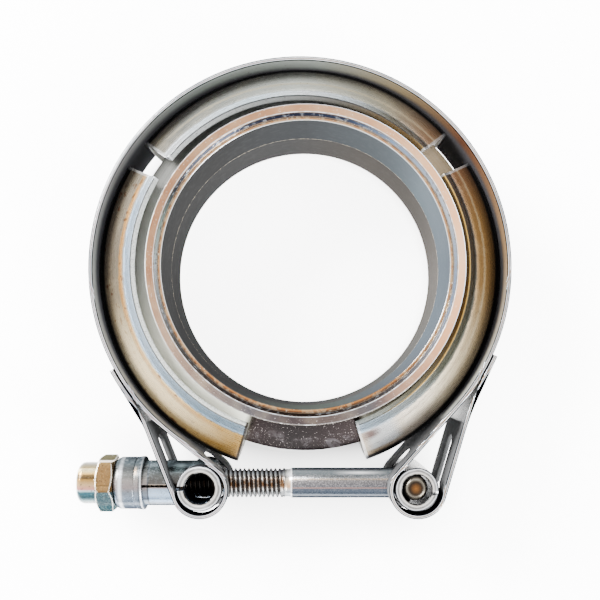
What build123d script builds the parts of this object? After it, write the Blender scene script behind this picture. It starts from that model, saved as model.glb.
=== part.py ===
from build123d import *
import math
import os

# A V-band clamp with its pair of flanges, lying flat with the ring axis upright.
# A slotted strap carries three V-shaped retainers and pulls them round the two
# flanges with a T-bolt, a rolled trunnion, a cap and a lock nut.
# Millimetres, +Z up.
# The origin is on the axis of the flanges' bore, in the plane where they meet.
# +X runs along the T-bolt towards its T-head, and +Y away from the bolt.

# Flanges
bore_d = 90.0
hub_wall = 5.0
rim_run = 9.8
flange_len = 20.5
rim_half = 3.6
cone_angle = 42.0
hub_fillet = 2.5
rim_break = 0.5
face_break = 0.3
weld_land = 2.6
weld_prep_run = 1.2
weld_prep_depth = 1.4
ledge_break = 0.3
joint_break = 0.25
tongue_inset = 2.0
tongue_t = 5.0
tongue_height = 1.6
tongue_side_gap = 0.1
tongue_end_gap = 0.3

# The open clamp is loose round the flanges, so its ring is off their axis.
# It rests on its lower lips, beside the lower flange.
ring_x = -1.7
ring_y = 0.0
clamp_drop = 1.3

# Strap
strap_t = 1.4
strap_width = 25.0
loop_inner_r = 7.9
fold_gap = 0.1
fold_weld_inset = 2.8
trunnion_fold_end = 61.6
trunnion_fold_lift = 58.5
trunnion_fold_run = 16.4
trunnion_fold_bend_r = 12.0
head_fold_end = 65.9
head_fold_lift = 65.2
head_fold_run = 14.0
head_fold_bend_r = 80.0
trunnion_slot_run = 6.6
trunnion_keyhole_run = 11.4
trunnion_window_run = 21.2
trunnion_window_half = 4.2
head_slot_run = 8.5
head_keyhole_run = 3.2
head_window_run = 20.0
head_window_half = 3.3
slot_corner_r = 3.0
slot_barrel_gap = 0.3
slot_shank_gap = 0.6

# Retainers, as angles from +X round the ring, and their section
retainer_spans = {
    "retainer_top": (42.9, 140.6),
    "retainer_left": (148.6, 251.9),
    "retainer_right": (-70.5, 32.6),
}
retainer_t = 1.8
rim_clearance = 5.38
corner_rise = 1.2
mouth_clearance = 3.6
lip_run = 2.4
lip_height = 4.5
web_bend_r = 4.0
knee_bend_r = 4.0
seat_gap = 0.02

# Spot welds on the back of the strap
weld_d = 4.6
weld_depth = 0.2
welds_each = 4
weld_row_z = 2.2
nugget_row_z = 6.25

# Places of the two loops and of the bolt, from the ring's centre and outside
trunnion_loop_x = -32.5
head_loop_x = 38.2
loop_drop = 3.5
bolt_rise = 0.5

# T-bolt
bolt_d = 10.1
thread_d = 9.8
relief_d = 8.9
relief_len = 1.6
shank_len = 41.0
bolt_end_x = -74.2
bolt_tip_chamfer = 1.0
t_bar_d = 8.4
t_bar_len = 23.6
t_bar_dome = 2.4
t_bar_x = 37.6

# Split sleeve round the T-head
sleeve_outer_d = 14.2
sleeve_t = 2.3
sleeve_len = 24.0
sleeve_split = 1.0
sleeve_split_turn = -12.0
sleeve_split_slant = 24.0
sleeve_shift_x = 0.3
sleeve_shift_y = -0.3
shank_hole_gap = 0.3

# Rolled trunnion: a slit tube with two half barrels that run along the bolt
trunnion_t = 2.4
trunnion_tube_r = 7.35
trunnion_len = 24.0
barrel_outer_r = 7.55
barrel_slit = 0.9
barrel_chamfer = 0.4
tube_slit = 1.5

# Cap on the ends of the half barrels
cap_wall = 1.1
cap_floor = 1.8
cap_len = 9.7
cap_round = 2.0
cap_flare = 0.35
cap_band_len = 2.7
cap_groove = 0.25
cap_band_round = 0.5
cap_side_gap = 0.1
cap_end_gap = 0.3

# Lock nut with a domed collar
nut_flats = 17.0
nut_hex_len = 5.9
collar_d = 14.0
collar_len = 6.9
collar_round = 2.2
nut_chamfer_len = 0.9
nut_chamfer_depth = 1.7
nut_turn = 8.3
thread_gap = 0.06
bolt_end_inset = 0.4
nut_bore_chamfer = 0.8

# Sizes that follow from those above
hub_r = bore_d / 2 + hub_wall
rim_r = hub_r + rim_run
clamp_z = -clamp_drop
retainer_half_height = flange_len - clamp_drop
mouth_r = hub_r + mouth_clearance
knee_r = mouth_r + lip_run
knee_z = retainer_half_height - lip_height
web_outer_r = rim_r + rim_clearance + retainer_t
web_corner_z = rim_half + corner_rise
ring_inner_r = web_outer_r + seat_gap
ring_mid_r = ring_inner_r + strap_t / 2
ring_outer_r = ring_inner_r + strap_t
fold_mid_r = ring_outer_r + fold_gap + strap_t / 2
loop_mid_r = loop_inner_r + strap_t / 2
loop_y = -ring_outer_r - loop_drop
bolt_y = loop_y + bolt_rise
barrel_inner_r = barrel_outer_r - trunnion_t
trunnion_hole_r = trunnion_tube_r - trunnion_t
cap_inner_r = barrel_outer_r + cap_side_gap
cap_outer_r = cap_inner_r + cap_wall
nut_face_x = bolt_end_x - bolt_end_inset + collar_len + nut_hex_len

# Each loop: its centre, its side of the ring, its slot, the window that the slot
# narrows to in the folded layer, and that layer's end, the place where it lifts
# off, its straight run from there and its bend; angles from the ring's bottom
loops = {
    "trunnion": {
        "x": trunnion_loop_x,
        "side": -1,
        "slot_half": barrel_outer_r + slot_barrel_gap,
        "slot_run": trunnion_slot_run,
        "keyhole_run": trunnion_keyhole_run,
        "window_run": trunnion_window_run,
        "window_half": trunnion_window_half,
        "end": trunnion_fold_end,
        "lift": trunnion_fold_lift,
        "fold_run": trunnion_fold_run,
        "bend_r": trunnion_fold_bend_r,
    },
    "head": {
        "x": head_loop_x,
        "side": 1,
        "slot_half": bolt_d / 2 + slot_shank_gap,
        "slot_run": head_slot_run,
        "keyhole_run": head_keyhole_run,
        "window_run": head_window_run,
        "window_half": head_window_half,
        "end": head_fold_end,
        "lift": head_fold_lift,
        "fold_run": head_fold_run,
        "bend_r": head_fold_bend_r,
    },
}


def polar(centre, radius, angle):
    """The point at an angle in degrees on a circle."""
    turn = math.radians(angle)
    return (centre[0] + radius * math.cos(turn), centre[1] + radius * math.sin(turn))


def crossed_tangent(centre_a, radius_a, centre_b, radius_b, side):
    """Ends of the straight run between two circles that bend opposite ways."""
    run_x = centre_b[0] - centre_a[0]
    run_y = centre_b[1] - centre_a[1]
    reach = math.hypot(run_x, run_y)
    swing = math.degrees(math.acos((radius_a + radius_b) / reach))
    angle = math.degrees(math.atan2(run_y, run_x)) + side * swing
    return angle, polar(centre_a, radius_a, angle), polar(centre_b, radius_b, angle + 180)


def strip_arc(centre, mid_r, start, span, thickness):
    """A bent stretch of strip, seen on edge."""
    outer = mid_r + thickness / 2
    inner = mid_r - thickness / 2
    near = Line(polar(centre, outer, start + span), polar(centre, inner, start + span))
    far = Line(polar(centre, inner, start), polar(centre, outer, start))
    rim = CenterArc(centre, outer, start, span)
    hollow = CenterArc(centre, inner, start + span, -span)
    return make_face([rim, near, hollow, far])


def strip_run(start, end, thickness):
    """A straight stretch of strip, seen on edge."""
    length = math.dist(start, end)
    heading = math.degrees(math.atan2(end[1] - start[1], end[0] - start[0]))
    middle = ((start[0] + end[0]) / 2, (start[1] + end[1]) / 2)
    return Pos(*middle) * Rot(0, 0, heading) * Rectangle(length, thickness)


def loop_route(loop):
    """Where the strip runs from the ring, round one loop and back onto the ring."""
    side = loop["side"]
    centre = (loop["x"], loop_y)
    leave_angle, leave, enter = crossed_tangent((0, 0), ring_mid_r, centre, loop_mid_r, side)
    end_angle = -90 + side * loop["end"]
    lift_angle = -90 + side * loop["lift"]
    lift = polar((0, 0), fold_mid_r, lift_angle)
    knee = polar(lift, loop["fold_run"], lift_angle - side * 90)
    bend_centre = polar(knee, loop["bend_r"], lift_angle)
    back_angle, back, exit_point = crossed_tangent(
        bend_centre, loop["bend_r"], centre, loop_mid_r, -side
    )
    enter_angle = leave_angle + 180
    wrap = (back_angle + 180 - enter_angle) * side % 360 * side
    bend_start = lift_angle + 180
    bend_span = (back_angle - bend_start + 180) % 360 - 180
    return {
        "centre": centre,
        "leave_angle": leave_angle,
        "leave": leave,
        "enter": enter,
        "enter_angle": enter_angle,
        "wrap": wrap,
        "exit": exit_point,
        "back": back,
        "bend_centre": bend_centre,
        "bend_start": bend_start,
        "bend_span": bend_span,
        "knee": knee,
        "lift": lift,
        "lift_angle": lift_angle,
        "end_angle": end_angle,
    }


def along(start, end, distance):
    """The point at a distance from start on the way to end."""
    share = distance / math.dist(start, end)
    return (start[0] + (end[0] - start[0]) * share, start[1] + (end[1] - start[1]) * share)


def loop_slot(loop, route):
    """The window that lets the bolt or the barrels through one loop."""
    cut_t = 3 * strap_t
    bend = strip_arc(route["centre"], loop_mid_r, route["enter_angle"], route["wrap"], cut_t)
    window = extrude(bend, loop["slot_half"], both=True)
    stretches = (
        (route["enter"], route["leave"], loop["slot_run"], loop["slot_half"]),
        (route["exit"], route["back"], loop["keyhole_run"], loop["slot_half"]),
        (route["exit"], route["back"], loop["window_run"], loop["window_half"]),
    )
    for start, towards, length, half in stretches:
        end = along(start, towards, length)
        run = extrude(strip_run(start, end, cut_t), half, both=True)
        heading = Vector(end[0] - start[0], end[1] - start[1]).normalized()
        end_face = run.faces().sort_by(Axis((0, 0, 0), tuple(heading)))[-1]
        window += fillet(end_face.edges().filter_by(Plane.XY), slot_corner_r)
    return window


def weld_spots(angles, radius, z):
    """Shallow round marks that the spot welds leave on the back of the strap."""
    spots = Part()
    for angle in angles:
        spot = Cylinder(weld_d / 2, 2 * weld_depth)
        spots += Rot(0, 0, angle) * Pos(radius, 0, z) * Rot(0, 90, 0) * spot
    return spots


def band_strap():
    """One strip: the ring, a slotted loop at each end, and both ends folded back."""
    routes = {name: loop_route(loop) for name, loop in loops.items()}
    start = routes["head"]["leave_angle"]
    span = (routes["trunnion"]["leave_angle"] - start) % 360
    outline = strip_arc((0, 0), ring_mid_r, start, span, strap_t)
    for name, route in routes.items():
        outline += strip_run(route["leave"], route["enter"], strap_t)
        outline += strip_arc(
            route["centre"], loop_mid_r, route["enter_angle"], route["wrap"], strap_t
        )
        outline += strip_run(route["exit"], route["back"], strap_t)
        bend_r = loops[name]["bend_r"]
        outline += strip_arc(
            route["bend_centre"], bend_r, route["bend_start"], route["bend_span"], strap_t
        )
        outline += strip_run(route["knee"], route["lift"], strap_t)
        held = route["end_angle"] - route["lift_angle"]
        outline += strip_arc((0, 0), fold_mid_r, route["lift_angle"], held, strap_t)
    strap = extrude(outline, strap_width / 2, both=True)
    for name, route in routes.items():
        strap -= loop_slot(loops[name], route)
        nugget_angle = route["end_angle"] - loops[name]["side"] * fold_weld_inset
        for row in (-1, 1):
            nugget = Cylinder(weld_d / 2, strap_t)
            place = Pos(ring_outer_r, 0, row * nugget_row_z) * Rot(0, 90, 0)
            strap += Rot(0, 0, nugget_angle) * place * nugget
    for first, last in retainer_spans.values():
        step = (last - first) / welds_each
        angles = [first + step * (index + 0.5) for index in range(welds_each)]
        clear = [angle for angle in angles if not behind_fold(angle, routes)]
        strap -= weld_spots(clear, ring_outer_r, weld_row_z)
    return strap


def behind_fold(angle, routes):
    """True where the folded end or a loop covers the back of the ring."""
    from_bottom = (angle + 90 + 180) % 360 - 180
    ends = [route["end_angle"] + 90 for route in routes.values()]
    margin = math.degrees(weld_d / ring_outer_r)
    return min(ends) - margin < from_bottom < max(ends) + margin


def retainer_section():
    """The V: a web, two legs and two lips that turn up, in the ring's half plane."""
    points = [
        (mouth_r, 0, -retainer_half_height),
        (knee_r, 0, -knee_z),
        (web_outer_r, 0, -web_corner_z),
        (web_outer_r, 0, web_corner_z),
        (knee_r, 0, knee_z),
        (mouth_r, 0, retainer_half_height),
    ]
    back = FilletPolyline(*points, radius=[knee_bend_r, web_bend_r, web_bend_r, knee_bend_r])
    faces = [make_face(offset(back, retainer_t, side=side)) for side in (Side.LEFT, Side.RIGHT)]
    return min(faces, key=lambda face: face.bounding_box().max.X)


def retainer(first, last):
    """One segment of the V, rolled round the ring axis."""
    section = Rot(0, 0, first) * retainer_section()
    return revolve(section, Axis.Z, last - first)


def flange_profile(tongue):
    """Half section of a flange from its joint face (z = 0) up to its hub face."""
    bore_r = bore_d / 2
    mouth_break = 0 if tongue else joint_break
    cone_top = rim_half + (rim_r - hub_r) * math.tan(math.radians(cone_angle))
    land_r = hub_r - weld_land
    prep_r = land_r - weld_prep_run
    prep_z = flange_len - weld_prep_depth
    points = [
        (bore_r + mouth_break, 0),
        (rim_r - rim_break, 0),
        (rim_r, rim_break),
        (rim_r, rim_half),
        (hub_r, cone_top),
        (hub_r, flange_len - face_break),
        (hub_r - face_break, flange_len),
        (land_r, flange_len),
        (prep_r, prep_z),
        (bore_r + ledge_break, prep_z),
        (bore_r, prep_z - ledge_break),
    ]
    if mouth_break:
        points.append((bore_r, mouth_break))
    face = make_face(Polyline(*points, close=True))
    heel = face.vertices().sort_by_distance((hub_r, cone_top, 0))[0]
    face = fillet(heel, hub_fillet)
    grow = 0 if tongue else 1
    inner = hub_r - tongue_inset - grow * tongue_side_gap
    outer = hub_r - tongue_inset + tongue_t + grow * tongue_side_gap
    depth = tongue_height + grow * tongue_end_gap
    middle = ((inner + outer) / 2, -depth / 2 if tongue else depth / 2)
    ring = Pos(*middle) * Rectangle(outer - inner, depth)
    return face + ring if tongue else face - ring


def flange(tongue):
    """A turned flange, joint face down at z = 0."""
    section = Plane.XZ * flange_profile(tongue)
    return revolve(section, Axis.Z)


def x_cylinder(radius, start, end):
    """A round bar along X between two places."""
    return Pos((start + end) / 2, 0, 0) * Rot(0, 90, 0) * Cylinder(radius, end - start)


def t_bolt():
    """Bolt with a T-head: its bar is upright in the sleeve."""
    shank_start = t_bar_x - shank_len
    relief_start = shank_start - relief_len
    thread = x_cylinder(thread_d / 2, bolt_end_x, relief_start)
    tip = thread.faces().sort_by(Axis.X)[0].edges()
    thread = chamfer(tip, bolt_tip_chamfer)
    relief = x_cylinder(relief_d / 2, relief_start, shank_start)
    shank = x_cylinder(bolt_d / 2, shank_start, t_bar_x)
    bar = Cylinder(t_bar_d / 2, t_bar_len)
    rims = bar.edges().filter_by(GeomType.CIRCLE)
    bar = Pos(t_bar_x, 0, 0) * fillet(rims, t_bar_dome)
    return thread + relief + shank + bar


def t_head_sleeve():
    """Sleeve rolled round the T-head, split away from the shank."""
    outer = Cylinder(sleeve_outer_d / 2, sleeve_len)
    inner = Cylinder(sleeve_outer_d / 2 - sleeve_t, sleeve_len)
    sleeve = outer - inner
    slant = Rot(0, 0, sleeve_split_slant)
    split = Pos(sleeve_outer_d / 2 - sleeve_t / 2, 0, 0) * slant
    split *= Box(sleeve_outer_d / 2, sleeve_split, sleeve_len)
    sleeve -= Rot(0, 0, sleeve_split_turn) * split
    sleeve = Pos(sleeve_shift_x, sleeve_shift_y, 0) * sleeve
    sleeve -= x_cylinder(bolt_d / 2 + shank_hole_gap, -sleeve_outer_d, 0)
    return Pos(t_bar_x, 0, 0) * sleeve


def barrel_end_x():
    """Where the half barrels stop inside the cap."""
    return nut_face_x + cap_floor + cap_end_gap


def trunnion():
    """One rolled sheet: an upright tube, slit where its two halves run out along the bolt."""
    centre = Pos(trunnion_loop_x, 0, 0)
    end_x = barrel_end_x()
    tube = centre * Cylinder(trunnion_tube_r, trunnion_len)
    barrel = x_cylinder(barrel_outer_r, end_x, trunnion_loop_x)
    rim = barrel.faces().sort_by(Axis.X)[0].edges()
    body = tube + chamfer(rim, barrel_chamfer)
    body -= centre * Cylinder(trunnion_hole_r, trunnion_len)
    body -= x_cylinder(barrel_inner_r, end_x, trunnion_loop_x + trunnion_tube_r)
    slit_len = trunnion_loop_x - end_x
    body -= Pos(end_x + slit_len / 2, 0, 0) * Box(slit_len, barrel_slit, trunnion_len)
    body -= centre * Pos(-trunnion_tube_r, 0, 0) * Box(2 * trunnion_t, tube_slit, trunnion_len)
    return body


def trunnion_cap():
    """Cup that holds the two half barrels together and takes the nut's thrust."""
    hole_r = bolt_d / 2 + cap_side_gap
    band_start = cap_len - cap_band_len
    rim_corner = (cap_len, cap_outer_r + cap_flare)
    section = make_face(
        Polyline(
            (0, hole_r),
            (0, cap_outer_r),
            (band_start - cap_groove, cap_outer_r),
            (band_start, cap_outer_r - cap_groove),
            (band_start + cap_groove, cap_outer_r),
            rim_corner,
            (cap_len, cap_inner_r),
            (cap_floor, cap_inner_r),
            (cap_floor, hole_r),
            close=True,
        )
    )
    nose = section.vertices().sort_by_distance((0, cap_outer_r, 0))[0]
    section = fillet(nose, cap_round)
    rim = section.vertices().sort_by_distance((*rim_corner, 0))[0]
    section = fillet(rim, cap_band_round)
    return Pos(nut_face_x, 0, 0) * revolve(section, Axis.X)


def lock_nut():
    """Hexagon with a round collar that grips the thread."""
    hex_start = nut_face_x - nut_hex_len
    corner_r = nut_flats / math.sqrt(3)
    flat_hex = RegularPolygon(corner_r, 6)
    hexagon = Pos(hex_start, 0, 0) * Rot(0, 90, 0) * extrude(flat_hex, nut_hex_len)
    crown = x_cylinder(corner_r, hex_start, nut_face_x)
    for end in (0, -1):
        end_face = crown.faces().sort_by(Axis.X)[end]
        wall = crown.faces().filter_by(GeomType.CYLINDER)[0]
        crown = chamfer(end_face.edges(), nut_chamfer_len, nut_chamfer_depth, reference=wall)
    hexagon = hexagon & crown
    collar = x_cylinder(collar_d / 2, hex_start - collar_len, hex_start)
    collar = fillet(collar.faces().sort_by(Axis.X)[0].edges(), collar_round)
    nut = Rot(nut_turn, 0, 0) * hexagon + collar
    bore_r = thread_d / 2 + thread_gap
    nut -= x_cylinder(bore_r, hex_start - collar_len, nut_face_x)
    lead = Cone(bore_r, bore_r + nut_bore_chamfer, nut_bore_chamfer)
    nut -= Pos(nut_face_x - nut_bore_chamfer / 2, 0, 0) * Rot(0, 90, 0) * lead
    return nut


def main():
    ring_place = Pos(ring_x, ring_y, clamp_z)
    bolt_place = Pos(ring_x, ring_y + bolt_y, clamp_z)
    nodes = {"band_strap": ring_place * band_strap()}
    for name, (first, last) in retainer_spans.items():
        nodes[name] = ring_place * retainer(first, last)
    nodes["lower_flange"] = Rot(180, 0, 0) * flange(tongue=False)
    nodes["upper_flange"] = flange(tongue=True)
    nodes["t_bolt"] = bolt_place * t_bolt()
    nodes["t_head_sleeve"] = bolt_place * t_head_sleeve()
    nodes["trunnion"] = bolt_place * trunnion()
    nodes["trunnion_cap"] = bolt_place * trunnion_cap()
    nodes["lock_nut"] = bolt_place * lock_nut()
    os.makedirs("parts", exist_ok=True)
    for name, shape in nodes.items():
        export_step(shape, f"parts/{name}.step")


main()
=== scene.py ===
import bpy
import math
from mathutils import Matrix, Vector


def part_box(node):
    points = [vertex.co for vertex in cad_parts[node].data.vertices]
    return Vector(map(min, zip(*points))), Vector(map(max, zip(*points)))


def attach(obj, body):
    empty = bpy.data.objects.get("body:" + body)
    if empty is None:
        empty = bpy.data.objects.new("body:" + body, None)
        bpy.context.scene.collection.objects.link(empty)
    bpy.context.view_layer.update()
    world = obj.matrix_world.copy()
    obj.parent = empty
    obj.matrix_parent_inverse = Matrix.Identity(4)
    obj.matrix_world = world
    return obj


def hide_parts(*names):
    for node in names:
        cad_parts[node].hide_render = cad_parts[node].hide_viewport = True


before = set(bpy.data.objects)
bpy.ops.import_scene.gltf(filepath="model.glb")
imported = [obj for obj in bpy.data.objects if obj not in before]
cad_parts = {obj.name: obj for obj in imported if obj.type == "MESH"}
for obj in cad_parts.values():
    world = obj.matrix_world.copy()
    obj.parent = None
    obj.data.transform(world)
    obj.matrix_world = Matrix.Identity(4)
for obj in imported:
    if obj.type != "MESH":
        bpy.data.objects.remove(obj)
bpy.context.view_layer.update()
scene = bpy.context.scene

# Places and sizes in metres. The clamp's ring is off the flanges' axis.
MM = 0.001
RING_X = -1.7 * MM
CLAMP_Z = -1.3 * MM
BOLT_Y = -71.4 * MM
FLOOR_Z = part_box("lower_flange")[0][2]

# The camera looks straight down. The photo is a crop, so its lens is shifted.
PHOTO_PX = 600
PHOTO_FOCAL_PX = 737.8
PHOTO_CENTRE_PX = (296.6, 356.4)
CAMERA_PLACE = (-2.77 * MM, -28.55 * MM, 249.4 * MM)
SENSOR_MM = 36.0
CLIP = (0.01, 20)

# T-bolt, along X from the ring's centre
THREAD_START = -74.2 * MM
RELIEF_START = -5.0 * MM
RELIEF_SLOPE = 0.8 * MM
SHANK_START = -2.6 * MM
T_BAR_X = 37.6 * MM
THREAD_R = 4.9 * MM
THREAD_PITCH = 1.5 * MM
THREAD_DEPTH = 0.86 * MM
RELIEF_R = 4.55 * MM
SHANK_R = 5.05 * MM
T_BAR_R = 4.2 * MM
T_BAR_HALF = 11.8 * MM
T_BAR_DOME = 2.6 * MM
# The thread's crest and each flank as shares of a pitch, and the mesh's steps
THREAD_CREST = 0.16
THREAD_FLANK = 0.34
STEPS_A_PITCH = 12
DOME_STEPS = 8
BOLT_SIDES = 56

# The strap's loops from the ring's centre, and the middle of their sheet
TRUNNION_LOOP_X = -32.5 * MM
HEAD_LOOP_X = 38.2 * MM
LOOP_Y = -71.9 * MM

# Stage in metres: the floor's half width, its glow, the studio's strength and the
# lamps as (name, place, watts)
FLOOR_HALF = 2.0
FLOOR_CORNERS = ((-1, -1), (1, -1), (1, 1), (-1, 1))
FLOOR_GLOW = 6.5
STUDIO_GLOW = 4.4
LAMP_SIZE = 0.6
LAMPS = (
    ("key", (-0.85, 0.65, 0.55), 110.0),
    ("fill", (0.8, -0.8, 0.5), 45.0),
)


def grey(level):
    return (level, level, level)


# Colours of the metal and of the tints that welding left on it
WHITE = (0.88, 0.90, 0.92)
PALE_BLUE = (0.60, 0.72, 0.84)
SILVER = (0.55, 0.56, 0.56)
GREY = (0.27, 0.28, 0.26)
DARK = (0.085, 0.085, 0.09)
BLACK = (0.006, 0.006, 0.008)
NAVY = (0.07, 0.08, 0.13)
TAN = (0.34, 0.195, 0.105)
UMBER = (0.055, 0.03, 0.028)
CREAM = (0.74, 0.66, 0.50)
GLINT = grey(1.0)

# How much the metals' colours are deepened under the strong studio light
METAL_CONTRAST = 1.6
METAL_TONE = grey(0.6)

# The middle values of a noise, where nearly all of it lies
NOISE_MIDDLE = (0.3, 0.7)


def make_camera():
    data = bpy.data.cameras.new("camera")
    data.sensor_width = SENSOR_MM
    data.sensor_fit = "HORIZONTAL"
    data.lens = PHOTO_FOCAL_PX / PHOTO_PX * SENSOR_MM
    data.shift_x = (PHOTO_PX / 2 - PHOTO_CENTRE_PX[0]) / PHOTO_PX
    data.shift_y = (PHOTO_CENTRE_PX[1] - PHOTO_PX / 2) / PHOTO_PX
    data.clip_start, data.clip_end = CLIP
    camera = bpy.data.objects.new("camera", data)
    camera.location = CAMERA_PLACE
    scene.collection.objects.link(camera)
    scene.camera = camera


def fill_ramp(node, stops):
    """Sets a ramp node's colours at their places."""
    elements = node.color_ramp.elements
    while len(elements) < len(stops):
        elements.new(0.5)
    for element, (place, colour) in zip(elements, stops):
        element.position = place
        element.color = (*colour, 1)


class Graph:
    """Short names for the nodes of one material. Lengths in it are in millimetres."""

    def __init__(self, name):
        self.material = bpy.data.materials.new(name)
        self.material.use_nodes = True
        self.tree = self.material.node_tree
        self.tree.nodes.clear()
        self.out = self.add("ShaderNodeOutputMaterial")
        self.shader = self.add("ShaderNodeBsdfPrincipled")
        self.link(self.shader.outputs[0], self.out.inputs[0])
        scale = self.add("ShaderNodeVectorMath", operation="SCALE")
        self.link(self.add("ShaderNodeTexCoord").outputs["Object"], scale.inputs[0])
        scale.inputs["Scale"].default_value = 1 / MM
        self.spot = scale.outputs[0]

    def add(self, kind, **settings):
        node = self.tree.nodes.new(kind)
        for key, value in settings.items():
            setattr(node, key, value)
        return node

    def link(self, source, target):
        self.tree.links.new(source, target)

    def put(self, value, socket):
        if isinstance(value, bpy.types.NodeSocket):
            self.link(value, socket)
        else:
            socket.default_value = value

    # Sums

    def math(self, operation, *values):
        node = self.add("ShaderNodeMath", operation=operation)
        for index, value in enumerate(values):
            self.put(value, node.inputs[index])
        return node.outputs[0]

    def plus(self, a, b):
        return self.math("ADD", a, b)

    def minus(self, a, b):
        return self.math("SUBTRACT", a, b)

    def times(self, a, b):
        return self.math("MULTIPLY", a, b)

    def size(self, a):
        return self.math("ABSOLUTE", a)

    def larger(self, a, b):
        return self.math("MAXIMUM", a, b)

    def smaller(self, a, b):
        return self.math("MINIMUM", a, b)

    def invert(self, mask):
        return self.minus(1.0, mask)

    def hypotenuse(self, a, b):
        return self.math("SQRT", self.plus(self.times(a, a), self.times(b, b)))

    # Places

    def split(self, vector):
        node = self.add("ShaderNodeSeparateXYZ")
        self.link(vector, node.inputs[0])
        return node.outputs

    def join(self, x, y, z):
        node = self.add("ShaderNodeCombineXYZ")
        for value, socket in zip((x, y, z), node.inputs):
            self.put(value, socket)
        return node.outputs[0]

    def stretch(self, x, y, z):
        """The surface's place with each axis scaled, for grain that runs one way."""
        node = self.add("ShaderNodeVectorMath", operation="MULTIPLY")
        self.link(self.spot, node.inputs[0])
        node.inputs[1].default_value = (x, y, z)
        return node.outputs[0]

    def ring(self, centre_x):
        """Radius, angle and height about an upright axis."""
        x, y, z = self.split(self.spot)
        dx = self.minus(x, centre_x / MM)
        return self.hypotenuse(dx, y), self.math("ARCTAN2", y, dx), z

    def away(self, centre_x, centre_y):
        """Distance from an upright axis."""
        x, y = self.split(self.spot)[:2]
        return self.hypotenuse(self.minus(x, centre_x / MM), self.minus(y, centre_y / MM))

    def from_middle(self, z):
        """Height above or below the clamp's middle plane."""
        return self.size(self.minus(z, CLAMP_Z / MM))

    # Masks

    def fade(self, value, low, high, out_low=0.0, out_high=1.0):
        """out_low up to low, out_high from high on, straight between."""
        node = self.add("ShaderNodeMapRange", clamp=True)
        self.put(value, node.inputs[0])
        for index, number in enumerate((low, high, out_low, out_high)):
            self.put(number, node.inputs[index + 1])
        return node.outputs[0]

    def drop(self, value, low, high):
        """One up to low, zero from high on."""
        return self.fade(value, low, high, 1.0, 0.0)

    def between(self, value, rise, fall):
        """One between two limits, each given as where its fade starts and ends."""
        return self.times(self.fade(value, *rise), self.drop(value, *fall))

    def band(self, value, low, high, soft):
        """One between low and high, with soft edges."""
        return self.between(value, (low - soft, low + soft), (high - soft, high + soft))

    def near(self, angle, degrees):
        """One within a millimetre of a retainer's cut end."""
        off = self.size(self.minus(angle, math.radians(degrees)))
        return self.drop(off, *CUT_END_TURN)

    def facing_in(self, radius, centre_x):
        """One on surfaces that face the ring's axis."""
        x, y = self.split(self.spot)[:2]
        nx, ny = self.split(self.add("ShaderNodeNewGeometry").outputs["True Normal"])[:2]
        dot = self.plus(self.times(nx, self.minus(x, centre_x / MM)), self.times(ny, y))
        return self.drop(self.math("DIVIDE", dot, radius), -0.35, -0.15)

    # Noise

    def noise(self, scale, vector=None, detail=3.0, roughness=0.55, distortion=0.0):
        node = self.add("ShaderNodeTexNoise")
        self.link(self.spot if vector is None else vector, node.inputs["Vector"])
        node.inputs["Scale"].default_value = scale
        node.inputs["Detail"].default_value = detail
        node.inputs["Roughness"].default_value = roughness
        node.inputs["Distortion"].default_value = distortion
        return node.outputs["Fac"]

    def turned(self, place, scales, *settings, scale=1.0):
        """Noise over (angle, radius, height), each scaled, for grain round the ring."""
        scaled = [self.times(value, factor) for value, factor in zip(place, scales)]
        return self.noise(scale, self.join(*scaled), *settings)

    def specks(self, scale, low, high):
        """Sparse small marks."""
        return self.fade(self.noise(scale, detail=1.0, roughness=0.4), low, high)

    def vary(self, grain, low, high):
        """A number that follows a noise from low to high."""
        return self.fade(grain, *NOISE_MIDDLE, low, high)

    def tones(self, grain, low, high):
        """A colour that follows a noise from one to another."""
        return self.ramp(grain, list(zip(NOISE_MIDDLE, (low, high))))

    # Colours

    def ramp(self, value, stops):
        node = self.add("ShaderNodeValToRGB")
        self.put(value, node.inputs[0])
        fill_ramp(node, stops)
        return node.outputs[0]

    def mix(self, factor, a, b, blend="MIX"):
        node = self.add("ShaderNodeMix", data_type="RGBA", blend_type=blend)
        self.put(factor, node.inputs[0])
        for value, socket in ((a, node.inputs[6]), (b, node.inputs[7])):
            if isinstance(value, tuple):
                value = (*value, 1)
            self.put(value, socket)
        return node.outputs[2]

    def paint(self, colour, mask, over, share=1.0):
        """Lays another colour on top where the mask is one."""
        return self.mix(mask if share == 1.0 else self.times(mask, share), colour, over)

    def around(self, angle, stops):
        """Colours at places round the ring, in degrees from +X."""
        turn = self.fade(angle, -math.pi, math.pi)
        return self.ramp(turn, [((degrees + 180) / 360, colour) for degrees, colour in stops])

    def across(self, stops):
        """Colours at distances from the bolt's axis, in mm towards the ring."""
        y = self.split(self.spot)[1]
        low, high = stops[0][0], stops[-1][0]
        place = self.fade(self.minus(y, BOLT_Y / MM), low, high)
        return self.ramp(place, [((mm - low) / (high - low), colour) for mm, colour in stops])

    def cut_ring(self, node, inner, outer):
        """Polished end of a rolled tube, with painted shade along its rims, painted highlight
        bands and a worn, uneven shine.
        """
        low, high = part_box(node)
        centre_x = high[0] - outer * MM
        away = self.away(centre_x, (low[1] + high[1]) / 2)
        uneven = self.noise(0.28, detail=4.0, roughness=0.6, distortion=0.8)
        place = self.plus(self.fade(away, inner, outer), self.vary(uneven, -0.05, 0.05))
        worn = self.fade(uneven, 0.50, 0.58, 0.0, 0.2)
        return self.mix(worn, self.ramp(place, CUT_RING), WHITE)

    def deepen(self, colour):
        """The strong light whitens the paper, so the metals' own colours are deepened."""
        gamma = self.add("ShaderNodeGamma")
        gamma.inputs["Gamma"].default_value = METAL_CONTRAST
        self.link(colour, gamma.inputs["Color"])
        return self.mix(1.0, gamma.outputs[0], METAL_TONE, "MULTIPLY")

    # Edges and finish

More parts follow.
